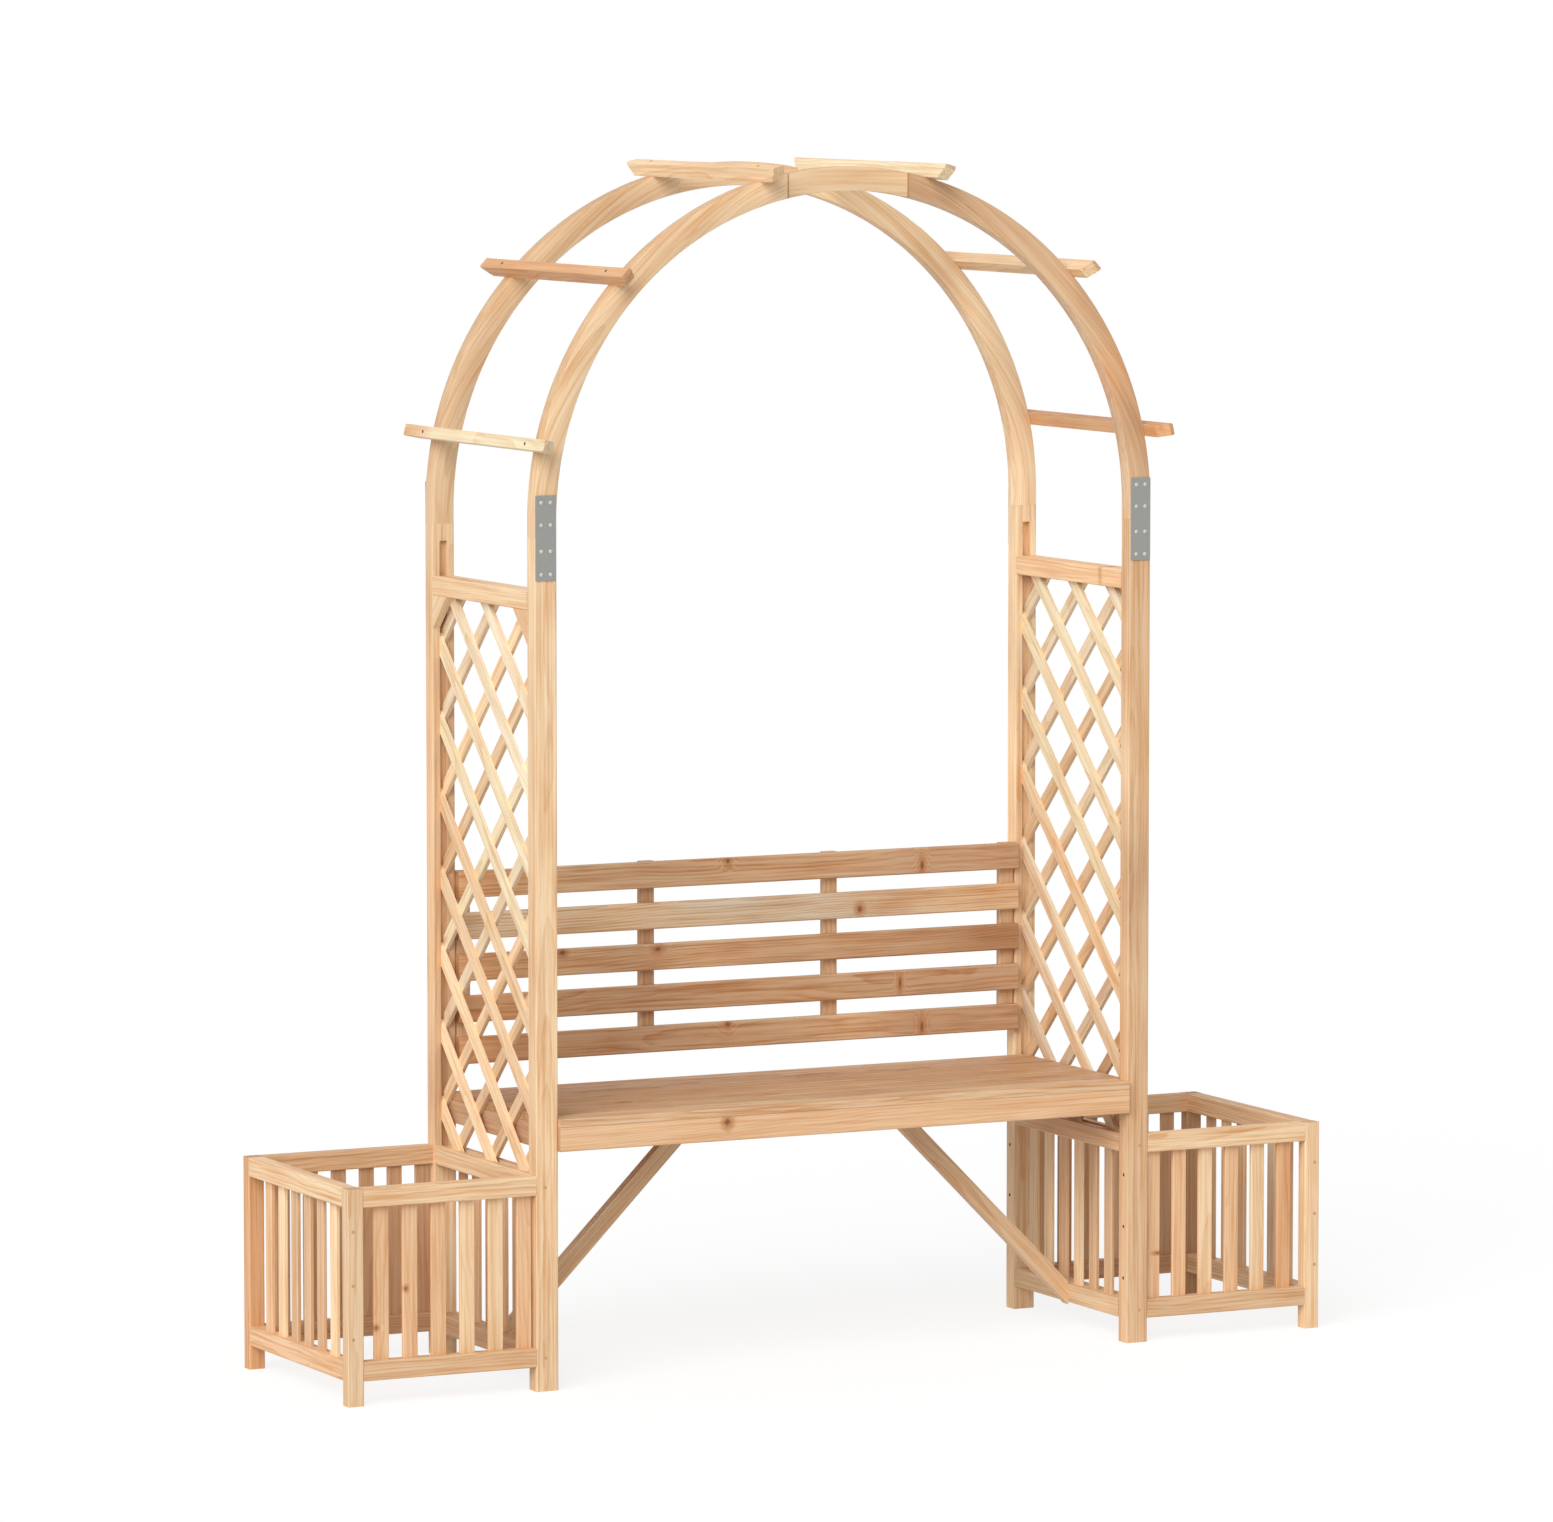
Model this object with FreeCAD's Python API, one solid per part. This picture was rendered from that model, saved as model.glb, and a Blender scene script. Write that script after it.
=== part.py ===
import FreeCAD, Part
import math
import os

# Garden arbour seat: an arched arbour with trellis sides, a slatted bench between the
# sides, and an open-bottomed slatted planter outside each of them.
# Millimetres. +Z up, +Y to the back, +X to the viewer's right when seen from the front.
# The origin is on the ground at the middle of the footprint.

V = FreeCAD.Vector
FRONT, REAR = -1, 1
LEFT, RIGHT = -1, 1
SIDE_NAME = {LEFT: "left", RIGHT: "right"}
END_NAME = {FRONT: "front", REAR: "rear"}

# Arbour frame
WIDTH = 1150.0            # outer faces of the side frames
DEPTH = 440.0             # front face of the front posts to rear face of the rear posts
POST_X = 40.0
POST_Y = 30.0
POST_TOP = 1412.0
RAIL_HEIGHT = 32.0
TOP_RAIL_TOP = 1324.0
RIM_HEIGHT = 359.0        # planter rims and the middle rails share this level
LOW_RAIL_BOTTOM = 41.0
EASE = 1.5                # eased long edges of the planed timber

# Arch
ARCH_CENTRE = 1438.0
CROWN_HALF = 111.5        # half the length of the crown segment, square butt joints

# Trellis
LATH_WIDTH = 22.0
LATH_THICK = 7.0
DIAMOND_Y = 134.6         # pitch of the diamonds along the panel
DIAMOND_Z = 131.0         # pitch of the diamonds up the panel
DIAMOND_LEVEL = 1216.0    # height of the top diamond on the panel's centre line
POST_GROOVE_DEPTH = 10.0
RAIL_GROOVE_DEPTH = 8.0
GROOVE_STOP = 1383.0      # the post grooves run out above the top rail
LATH_END_GAP = 2.0        # left between a lath's end and the bottom of its groove
GUSSET_LEG = 56.0

# Purlins
PURLIN_ANGLES = {"top": 15.5, "mid": 47.0, "low": 77.6}   # degrees from the crown
PURLIN_WIDE = 20.0
PURLIN_TALL = 24.0
PURLIN_OVERHANG = 61.0
PURLIN_TIP = 6.0
PURLIN_BEVEL = 18.0

# Splice plates
PLATE_WIDE = 37.0
PLATE_TALL = 140.0
PLATE_THICK = 2.0
PLATE_CORNER = 2.0

# Bench
SEAT_OVER_RIM = 93.0      # top of the seat above the rims and the middle rails
SEAT_THICK = 14.0
SEAT_BOARDS = 7
SEAT_GAP = 4.0
SEAT_NOSE = 8.0           # the seat front stands proud of the posts
SEAT_RAIL_TALL = 40.0
SEAT_RAIL_THICK = 20.0
SIDE_GAP = 0.3            # clearance between the bench and the side frames
BRACE_WIDE = 28.0
BRACE_THICK = 20.0

# Backrest
BACK_SLATS = 5
BACK_SLAT_TALL = 45.0
BACK_SLAT_THICK = 16.0
BACK_SLAT_PITCH = 70.6
BACK_OVER_SEAT = 44.0     # top of the seat to the lowest back slat
BATTEN_WIDE = 26.0
BATTEN_THICK = 15.0
BATTEN_INNER_AT = 175.0
BATTEN_END_INSET = 2.0    # from the ends of the slats to the end battens
BACK_INSET = 44.0         # rear faces of the posts to the front of the back slats

# Planters
PLANTER_OUT = 338.0       # arbour side face to planter outer face
PLANTER_POST_X = 28.0
PLANTER_POST_Y = 24.0
SLAT_COUNT = 6
SLAT_WIDE = 26.0
SLAT_THICK = 7.0
END_SLAT_PITCH = 51.3
END_SLAT_FIRST_GAP = 4.0  # from the arbour post to the nearest slat
END_SLAT_SET_BACK = 11.0
SIDE_SLAT_PITCH = 54.3
SIDE_SLAT_SET_BACK = 10.0
WALL_SLAT_SET_BACK = 8.0

# Places that follow from the sizes above
HALF_W = WIDTH / 2
HALF_D = DEPTH / 2
INNER_X = HALF_W - POST_X
INNER_Y = HALF_D - POST_Y
OUTER_X = HALF_W + PLANTER_OUT
TOP_RAIL_BOTTOM = TOP_RAIL_TOP - RAIL_HEIGHT
RIM_BOTTOM = RIM_HEIGHT - RAIL_HEIGHT
LOW_RAIL_TOP = LOW_RAIL_BOTTOM + RAIL_HEIGHT
ARCH_OUTER = HALF_W
ARCH_INNER = INNER_X
GROOVE_X = HALF_W - POST_X / 2
SEAT_TOP = RIM_HEIGHT + SEAT_OVER_RIM
SEAT_BOTTOM = SEAT_TOP - SEAT_THICK
SEAT_RAIL_BOTTOM = SEAT_BOTTOM - SEAT_RAIL_TALL
SEAT_FRONT = -HALF_D - SEAT_NOSE
BACK_FACE = HALF_D - BACK_INSET
BACK_SLAT_LOWEST = SEAT_TOP + BACK_OVER_SEAT
SEAT_HALF = INNER_X - SIDE_GAP
SEAT_END = GROOVE_X - LATH_THICK - SIDE_GAP     # reached by the seat between the posts
BRACE_TALL = BRACE_WIDE * math.sqrt(2)
BRACE_FOOT = LOW_RAIL_BOTTOM + (RAIL_HEIGHT - BRACE_TALL) / 2
BRACE_HEAD = INNER_X - (SEAT_RAIL_BOTTOM - BRACE_FOOT)    # end nearer the middle


def along(edge, axis):
    """True when a straight edge runs along the named axis."""
    if not isinstance(edge.Curve, Part.Line):
        return False
    step = edge.Vertexes[-1].Point - edge.Vertexes[0].Point
    length = {"x": abs(step.x), "y": abs(step.y), "z": abs(step.z)}
    return length[axis] > 0.99 * step.Length


def block(x, y, z):
    """A box between the pairs of coordinates x, y and z."""
    lo = V(min(x), min(y), min(z))
    return Part.makeBox(max(x) - lo.x, max(y) - lo.y, max(z) - lo.z, lo)


def board(x, y, z, axis, ease=EASE):
    """A planed board whose long edges, along the axis, are eased."""
    box = block(x, y, z)
    return box.makeChamfer(ease, [e for e in box.Edges if along(e, axis)])


def prism(points, direction):
    """The solid swept from a closed polygon."""
    face = Part.Face(Part.makePolygon(points + points[:1]))
    return face.extrude(direction)


def mirror_x(shape):
    return shape.mirror(V(0, 0, 0), V(1, 0, 0))


def mirror_y(shape):
    return shape.mirror(V(0, 0, 0), V(0, 1, 0))


def to_side(shape, side):
    """Shapes are drawn on the right and mirrored to the left."""
    return shape if side == RIGHT else mirror_x(shape)


def to_end(shape, end):
    """Shapes are drawn at the back and mirrored to the front."""
    return shape if end == REAR else mirror_y(shape)


def centred(count, pitch):
    """Places of a row about zero."""
    return [(i - (count - 1) / 2) * pitch for i in range(count)]


# Arbour posts: a stopped groove in the face that looks into the panel takes the lath ends
def post():
    shape = board((INNER_X, HALF_W), (INNER_Y, HALF_D), (0, POST_TOP), "z")
    groove = block((GROOVE_X - LATH_THICK, GROOVE_X + LATH_THICK),
                   (INNER_Y - POST_GROOVE_DEPTH, INNER_Y + POST_GROOVE_DEPTH),
                   (RIM_HEIGHT - RAIL_GROOVE_DEPTH, GROOVE_STOP))
    return shape.cut(groove)


# Side frame rails: the top and middle ones are grooved for the laths as well
def side_rail(bottom):
    return board((INNER_X, HALF_W), (-INNER_Y, INNER_Y), (bottom, bottom + RAIL_HEIGHT), "y")


def rail_groove(level):
    return block((GROOVE_X - LATH_THICK, GROOVE_X + LATH_THICK), (-HALF_D, HALF_D),
                 (level - RAIL_GROOVE_DEPTH, level + RAIL_GROOVE_DEPTH))


def top_rail():
    return side_rail(TOP_RAIL_BOTTOM).cut(rail_groove(TOP_RAIL_BOTTOM))


def middle_rail():
    return side_rail(RIM_BOTTOM).cut(rail_groove(RIM_HEIGHT))


def low_rail():
    return side_rail(LOW_RAIL_BOTTOM)


# Trellis: one layer of parallel laths, trimmed to the rectangle that the grooves hold
def lath_layer(x_low, fall):
    half_y = INNER_Y + POST_GROOVE_DEPTH - LATH_END_GAP
    low = RIM_HEIGHT - RAIL_GROOVE_DEPTH + LATH_END_GAP
    high = TOP_RAIL_BOTTOM + RAIL_GROOVE_DEPTH - LATH_END_GAP
    frame = block((x_low, x_low + LATH_THICK), (-half_y, half_y), (low, high))
    angle = math.atan2(DIAMOND_Z, DIAMOND_Y)
    reach = (high - low) + 2 * half_y
    half_cut = LATH_WIDTH / 2 / math.cos(angle)
    slope = fall * math.tan(angle)
    laths = []
    steps = int(reach / DIAMOND_Z) + 2
    for i in range(-steps, steps):
        mid = DIAMOND_LEVEL + (i + 0.5) * DIAMOND_Z
        points = [V(x_low, -reach, mid - slope * reach - half_cut),
                  V(x_low, reach, mid + slope * reach - half_cut),
                  V(x_low, reach, mid + slope * reach + half_cut),
                  V(x_low, -reach, mid - slope * reach + half_cut)]
        lath = prism(points, V(LATH_THICK, 0, 0)).common(frame)
        laths += [s for s in lath.Solids if s.Volume > LATH_WIDTH ** 3]
    return Part.makeCompound(laths)


def gussets():
    """The pair of corner gussets under a top rail, on its outer side."""
    x_low = GROOVE_X + LATH_THICK
    points = [V(x_low, INNER_Y, TOP_RAIL_BOTTOM),
              V(x_low, INNER_Y - GUSSET_LEG, TOP_RAIL_BOTTOM),
              V(x_low, INNER_Y, TOP_RAIL_BOTTOM - GUSSET_LEG)]
    rear = prism(points, V(HALF_W - x_low, 0, 0))
    return [rear, mirror_y(rear)]


def wall_slats():
    """Upright slats that close the planter from the seat side."""
    x_low = INNER_X + WALL_SLAT_SET_BACK
    return Part.makeCompound([
        board((x_low, x_low + SLAT_THICK), (y - SLAT_WIDE / 2, y + SLAT_WIDE / 2),
              (LOW_RAIL_TOP, RIM_BOTTOM), "z", 1.0)
        for y in centred(SLAT_COUNT, SIDE_SLAT_PITCH)])


# Arches: sawn curved segments that carry on the posts, butted square at the crown
def on_arc(radius, x):
    return V(x, 0, ARCH_CENTRE + math.sqrt(radius ** 2 - x ** 2))


def arc_between(radius, x0, x1):
    """Arc of the arch from x0 to x1, as an edge in the plane Y = 0."""
    angles = [math.acos(x / radius) for x in (x0, x1)]
    mid = sum(angles) / 2
    through = V(radius * math.cos(mid), 0, ARCH_CENTRE + radius * math.sin(mid))
    return Part.Arc(on_arc(radius, x0), through, on_arc(radius, x1)).toShape()


def segment(edges):
    """A rear arch segment from the edges of its outline."""
    face = Part.Face(Part.Wire(edges))
    face.translate(V(0, INNER_Y, 0))
    return face.extrude(V(0, POST_Y, 0))


def eased_arch(shape):
    """Ease the curved edges of an arch segment."""
    curved = [e for e in shape.Edges if isinstance(e.Curve, Part.Circle)]
    return shape.makeChamfer(EASE, curved)


def arch_side():
    spring_out, spring_in = V(ARCH_OUTER, 0, ARCH_CENTRE), V(ARCH_INNER, 0, ARCH_CENTRE)
    foot_out, foot_in = V(ARCH_OUTER, 0, POST_TOP), V(ARCH_INNER, 0, POST_TOP)
    edges = [Part.makeLine(foot_in, foot_out),
             Part.makeLine(foot_out, spring_out),
             arc_between(ARCH_OUTER, ARCH_OUTER, CROWN_HALF),
             Part.makeLine(on_arc(ARCH_OUTER, CROWN_HALF), on_arc(ARCH_INNER, CROWN_HALF)),
             arc_between(ARCH_INNER, CROWN_HALF, ARCH_INNER),
             Part.makeLine(spring_in, foot_in)]
    return eased_arch(segment(edges))


def arch_crown():
    edges = [arc_between(ARCH_OUTER, CROWN_HALF, -CROWN_HALF),
             Part.makeLine(on_arc(ARCH_OUTER, -CROWN_HALF), on_arc(ARCH_INNER, -CROWN_HALF)),
             arc_between(ARCH_INNER, -CROWN_HALF, CROWN_HALF),
             Part.makeLine(on_arc(ARCH_INNER, CROWN_HALF), on_arc(ARCH_OUTER, CROWN_HALF))]
    return eased_arch(segment(edges))


# Purlins: bars with bevelled ends that lie across the arches
def purlin(angle):
    half = HALF_D + PURLIN_OVERHANG
    base = ARCH_OUTER
    top = base + PURLIN_TALL
    x0 = -PURLIN_WIDE / 2
    side = [V(x0, -half, top), V(x0, -half, top - PURLIN_TIP),
            V(x0, -half + PURLIN_BEVEL, base), V(x0, half - PURLIN_BEVEL, base),
            V(x0, half, top - PURLIN_TIP), V(x0, half, top)]
    bar = prism(side, V(PURLIN_WIDE, 0, 0))
    crest = [e for e in bar.Edges if along(e, "y") and e.Vertexes[0].Point.z > top - 1]
    bar = bar.makeChamfer(EASE, crest)
    bar.rotate(V(0, 0, 0), V(0, 1, 0), angle)
    bar.translate(V(0, 0, ARCH_CENTRE))
    return bar


# Splice plates over the joints of posts and arches
def splice_plates():
    centre = GROOVE_X
    z_low = POST_TOP - PLATE_TALL / 2
    plate = block((centre - PLATE_WIDE / 2, centre + PLATE_WIDE / 2),
                  (HALF_D, HALF_D + PLATE_THICK), (z_low, z_low + PLATE_TALL))
    plate = plate.makeFillet(PLATE_CORNER, [e for e in plate.Edges if along(e, "y")])
    return [to_end(to_side(plate, side), end) for side in (LEFT, RIGHT) for end in (FRONT, REAR)]


# Bench
def seat_boards():
    """The seat boards from front to back: those behind the front posts reach the trellis."""
    wide = (BACK_FACE - SEAT_FRONT - (SEAT_BOARDS - 1) * SEAT_GAP) / SEAT_BOARDS
    boards = []
    for i in range(SEAT_BOARDS):
        y0 = SEAT_FRONT + i * (wide + SEAT_GAP)
        half = SEAT_END if y0 > -INNER_Y else SEAT_HALF
        boards.append(board((-half, half), (y0, y0 + wide), (SEAT_BOTTOM, SEAT_TOP), "x"))
    return boards


def seat_front_rail():
    return board((-SEAT_HALF, SEAT_HALF), (SEAT_FRONT, SEAT_FRONT + SEAT_RAIL_THICK),
                 (SEAT_RAIL_BOTTOM, SEAT_BOTTOM), "x")


def seat_rear_rail():
    half = SEAT_END - SEAT_RAIL_THICK
    return board((-half, half), (BACK_FACE - SEAT_RAIL_THICK, BACK_FACE),
                 (SEAT_RAIL_BOTTOM, SEAT_BOTTOM), "x")


def seat_bearers():
    """End bearers from post to post, and cross bearers between the seat's rails."""
    z = (SEAT_RAIL_BOTTOM, SEAT_BOTTOM)
    reach = INNER_Y - SIDE_GAP
    end = board((SEAT_END - SEAT_RAIL_THICK, SEAT_END), (-reach, reach), z, "y")
    y = (SEAT_FRONT + SEAT_RAIL_THICK, BACK_FACE - SEAT_RAIL_THICK)
    inner = board((BRACE_HEAD, BRACE_HEAD + BRACE_TALL), y, z, "y")
    return [end, mirror_x(end), inner, mirror_x(inner)]


def brace():
    """Diagonal brace from under a cross bearer down to the low rail's inner face."""
    points = [V(INNER_X, 0, BRACE_FOOT), V(INNER_X, 0, BRACE_FOOT + BRACE_TALL),
              V(BRACE_HEAD + BRACE_TALL, 0, SEAT_RAIL_BOTTOM), V(BRACE_HEAD, 0, SEAT_RAIL_BOTTOM)]
    points = [p + V(0, -BRACE_THICK / 2, 0) for p in points]
    return prism(points, V(0, BRACE_THICK, 0))


# Backrest
def back_slats():
    slats = []
    for i in range(BACK_SLATS):
        z0 = BACK_SLAT_LOWEST + i * BACK_SLAT_PITCH
        slats.append(board((-SEAT_HALF, SEAT_HALF), (BACK_FACE, BACK_FACE + BACK_SLAT_THICK),
                           (z0, z0 + BACK_SLAT_TALL), "x", 2.0))
    return slats


def back_battens():
    top = BACK_SLAT_LOWEST + (BACK_SLATS - 1) * BACK_SLAT_PITCH + BACK_SLAT_TALL
    y0 = BACK_FACE + BACK_SLAT_THICK
    ends = [BATTEN_INNER_AT, SEAT_HALF - BATTEN_END_INSET - BATTEN_WIDE / 2]
    return [board((side * x - BATTEN_WIDE / 2, side * x + BATTEN_WIDE / 2),
                  (y0, y0 + BATTEN_THICK), (BACK_SLAT_LOWEST, top), "z")
            for x in ends for side in (LEFT, RIGHT)]


# Planters
def planter_post():
    return board((OUTER_X - PLANTER_POST_X, OUTER_X), (HALF_D - PLANTER_POST_Y, HALF_D),
                 (0, RIM_HEIGHT), "z")


def planter_rails(bottom):
    """Rear, outer and front rails of one planter at one level."""
    z = (bottom, bottom + RAIL_HEIGHT)
    rear = board((HALF_W, OUTER_X - PLANTER_POST_X), (HALF_D - PLANTER_POST_Y, HALF_D), z, "x")
    reach = HALF_D - PLANTER_POST_Y
    outer = board((OUTER_X - PLANTER_POST_X, OUTER_X), (-reach, reach), z, "y")
    return [rear, outer, mirror_y(rear)]


def end_slats():
    """Upright slats of a planter's rear panel."""
    y1 = HALF_D - END_SLAT_SET_BACK
    first = HALF_W + END_SLAT_FIRST_GAP
    return Part.makeCompound([
        board((first + i * END_SLAT_PITCH, first + i * END_SLAT_PITCH + SLAT_WIDE),
              (y1 - SLAT_THICK, y1), (LOW_RAIL_TOP, RIM_BOTTOM), "z", 1.0)
        for i in range(SLAT_COUNT)])


def side_slats():
    """Upright slats of a planter's outer panel."""
    x1 = OUTER_X - SIDE_SLAT_SET_BACK
    return Part.makeCompound([
        board((x1 - SLAT_THICK, x1), (y - SLAT_WIDE / 2, y + SLAT_WIDE / 2),
              (LOW_RAIL_TOP, RIM_BOTTOM), "z", 1.0)
        for y in centred(SLAT_COUNT, SIDE_SLAT_PITCH)])


def build():
    """Every node by name."""
    nodes = {}
    for end in (FRONT, REAR):
        for side in (LEFT, RIGHT):
            name = END_NAME[end] + "_" + SIDE_NAME[side]
            nodes["post_" + name] = to_end(to_side(post(), side), end)
            nodes["arch_" + name] = to_end(to_side(arch_side(), side), end)
            nodes["planter_post_" + name] = to_end(to_side(planter_post(), side), end)
            nodes["planter_slats_" + name] = to_end(to_side(end_slats(), side), end)
        nodes["arch_" + END_NAME[end] + "_crown"] = to_end(arch_crown(), end)

    for side in (LEFT, RIGHT):
        name = SIDE_NAME[side]
        nodes["top_rail_" + name] = to_side(top_rail(), side)
        nodes["middle_rail_" + name] = to_side(middle_rail(), side)
        nodes["low_rail_" + name] = to_side(low_rail(), side)
        # Both panels have the laths that fall to the front in the layer nearer the left
        left_layer = side * GROOVE_X - LATH_THICK
        nodes["trellis_falling_" + name] = lath_layer(left_layer, 1)
        nodes["trellis_rising_" + name] = lath_layer(left_layer + LATH_THICK, -1)
        nodes["wall_slats_" + name] = to_side(wall_slats(), side)
        nodes["planter_slats_side_" + name] = to_side(side_slats(), side)
        for level, bottom in (("top", RIM_BOTTOM), ("bottom", LOW_RAIL_BOTTOM)):
            rails = Part.makeCompound(planter_rails(bottom))
            nodes["planter_rails_" + level + "_" + name] = to_side(rails, side)
        nodes["brace_" + name] = to_side(brace(), side)
        for level, angle in PURLIN_ANGLES.items():
            nodes["purlin_" + level + "_" + name] = purlin(side * angle)

    both = gussets() + [mirror_x(g) for g in gussets()]
    nodes["corner_gussets"] = Part.makeCompound(both)
    nodes["splice_plates"] = Part.makeCompound(splice_plates())
    nodes["seat_front_rail"] = seat_front_rail()
    nodes["seat_rear_rail"] = seat_rear_rail()
    nodes["seat_bearers"] = Part.makeCompound(seat_bearers())
    nodes["seat_boards"] = Part.makeCompound(seat_boards())
    nodes["back_battens"] = Part.makeCompound(back_battens())
    for i, shape in enumerate(back_slats(), 1):
        nodes["back_slat_%d" % i] = shape
    return nodes


os.makedirs("parts", exist_ok=True)
for node, shape in build().items():
    shape.exportStep("parts/" + node + ".step")
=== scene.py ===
import bmesh
import bpy
import math
from mathutils import Euler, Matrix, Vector


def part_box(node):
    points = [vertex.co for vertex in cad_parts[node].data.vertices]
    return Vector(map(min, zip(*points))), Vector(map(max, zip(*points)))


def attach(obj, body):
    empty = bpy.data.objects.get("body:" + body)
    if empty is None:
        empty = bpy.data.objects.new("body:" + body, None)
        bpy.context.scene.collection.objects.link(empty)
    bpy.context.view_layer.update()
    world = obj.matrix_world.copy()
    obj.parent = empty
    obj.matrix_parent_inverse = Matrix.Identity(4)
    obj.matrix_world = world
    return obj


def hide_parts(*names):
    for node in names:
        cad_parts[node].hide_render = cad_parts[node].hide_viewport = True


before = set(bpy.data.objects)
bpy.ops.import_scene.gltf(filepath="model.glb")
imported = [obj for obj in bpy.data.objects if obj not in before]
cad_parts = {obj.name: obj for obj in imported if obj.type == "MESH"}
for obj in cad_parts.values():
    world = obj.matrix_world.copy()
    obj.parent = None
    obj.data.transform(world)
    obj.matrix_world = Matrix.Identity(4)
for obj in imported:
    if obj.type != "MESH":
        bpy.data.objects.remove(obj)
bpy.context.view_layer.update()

MM = 0.001
DIAGONAL = math.sqrt(0.5)
X, Y, Z = 0, 1, 2


# Sizes of the part in millimetres and degrees, from the frame where it gives them

def box_mm(node):
    """A node's lowest and highest corners."""
    return [[round(place / MM, 3) for place in corner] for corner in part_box(node)]


def middle_mm(node):
    """The middle of a node's box."""
    return [(low + high) / 2 for low, high in zip(*box_mm(node))]


def half_mm(node):
    """Half the size of a node's box."""
    return [(high - low) / 2 for low, high in zip(*box_mm(node))]


POST_X, POST_Y, _ = middle_mm("post_rear_right")
POST_HALF_WIDTH, POST_HALF_DEPTH, POST_HALF_HEIGHT = half_mm("post_rear_right")
CORNER_X, CORNER_Y, _ = middle_mm("planter_post_rear_right")
CORNER_HALF_WIDTH, CORNER_HALF_DEPTH, _ = half_mm("planter_post_rear_right")
SLAT_FADE = half_mm("back_slat_1")[X]
PURLIN_FADE = half_mm("purlin_top_right")[Y] - 15.0
PURLIN_TALL = 24.0
PURLIN_ANGLES = (15.5, 47.0, 77.6)
PLATE_FACE = box_mm("splice_plates")[1][Y]
PLATE_BOTTOM = box_mm("splice_plates")[0][Z]
SCREW_HEIGHTS = (289.0, 200.0, 111.0)

# The arches carry on the posts and bend about a centre between them
ARCH_RADIUS = POST_X
CROWN_HALF, _, CROWN_TOP = box_mm("arch_rear_crown")[1]
ARCH_CENTRE = CROWN_TOP - ARCH_RADIUS - POST_HALF_WIDTH
ARCH_LEG = ARCH_CENTRE - 2 * POST_HALF_HEIGHT
ARCH_QUARTER = ARCH_RADIUS * math.pi / 2
ARCH_EASE = 1.5
ARCH_POINTS = 73


# Node trees

class Value:
    """One output of a node. Used in an expression, it adds the Math nodes."""

    def __init__(self, tree, socket):
        self.tree = tree
        self.socket = socket

    def math(self, operation, *others):
        return self.tree.math(operation, self, *others)

    def __add__(self, other):
        return self.math("ADD", other)

    def __radd__(self, other):
        return self.math("ADD", other)

    def __sub__(self, other):
        return self.math("SUBTRACT", other)

    def __rsub__(self, other):
        return self.tree.math("SUBTRACT", other, self)

    def __mul__(self, other):
        return self.math("MULTIPLY", other)

    def __rmul__(self, other):
        return self.math("MULTIPLY", other)

    def __truediv__(self, other):
        return self.math("DIVIDE", other)

    def __rtruediv__(self, other):
        return self.tree.math("DIVIDE", other, self)

    def __neg__(self):
        return self.math("MULTIPLY", -1.0)

    def __abs__(self):
        return self.math("ABSOLUTE")

    def __pow__(self, other):
        return self.math("POWER", other)

    def floor(self):
        return self.math("FLOOR")

    def fraction(self):
        return self.math("FRACT")

    def minimum(self, other):
        return self.math("MINIMUM", other)

    def maximum(self, other):
        return self.math("MAXIMUM", other)

    def clamp(self):
        """Kept between 0 and 1."""
        return self.minimum(1.0).maximum(0.0)

    def smooth(self, low, high):
        """0 below low, 1 above high and a soft step between them."""
        return self.tree.node("ShaderNodeMapRange", {"interpolation_type": "SMOOTHSTEP"},
                              {0: self, 1: low, 2: high, 3: 0.0, 4: 1.0})


class Tree:
    """A node tree under construction, for a material, the world or Geometry Nodes."""

    def __init__(self, tree):
        self.tree = tree

    def node(self, kind, settings=None, inputs=None, output=0):
        """Adds a node: its settings first, then the values or links of its sockets."""
        node = self.tree.nodes.new(kind)
        for key, value in (settings or {}).items():
            if key == "stops":
                set_stops(node.color_ramp, *value)
            else:
                setattr(node, key, value)
        for key, value in (inputs or {}).items():
            if isinstance(value, Value):
                self.tree.links.new(value.socket, node.inputs[key])
            else:
                node.inputs[key].default_value = value
        return Value(self, node.outputs[output]) if node.outputs else None

    def others(self, value, *outputs):
        """Further outputs of the node that gave this value."""
        return [Value(self, value.socket.node.outputs[o]) for o in outputs]

    def math(self, operation, *operands):
        return self.node("ShaderNodeMath", {"operation": operation}, dict(enumerate(operands)))

    def vector(self, x, y, z):
        return self.node("ShaderNodeCombineXYZ", None, {0: x, 1: y, 2: z})

    def split(self, vector):
        x = self.node("ShaderNodeSeparateXYZ", None, {0: vector})
        return [x] + self.others(x, 1, 2)

    def seen(self):
        """1 for the rays of the camera, of reflections and of glass, else 0."""
        camera = self.node("ShaderNodeLightPath")
        glossy, glass = self.others(camera, "Is Glossy Ray", "Is Transmission Ray")
        return camera.maximum(glossy).maximum(glass)


def set_stops(ramp, interpolation, stops):
    """Gives a colour ramp its stops, a list of (place, colour)."""
    ramp.interpolation = interpolation
    ramp.elements.remove(ramp.elements[-1])
    ramp.elements[0].position = stops[0][0]
    for place, _ in stops[1:]:
        ramp.elements.new(place)
    for element, (_, colour) in zip(ramp.elements, stops):
        element.color = colour


# Colours

def paint(red, green, blue):
    """A colour written as it looks on a screen, 0 to 255, as Blender's linear colour."""
    def linear(level):
        level /= 255
        return level / 12.92 if level <= 0.04045 else ((level + 0.055) / 1.055) ** 2.4
    return (linear(red), linear(green), linear(blue), 1.0)


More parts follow.
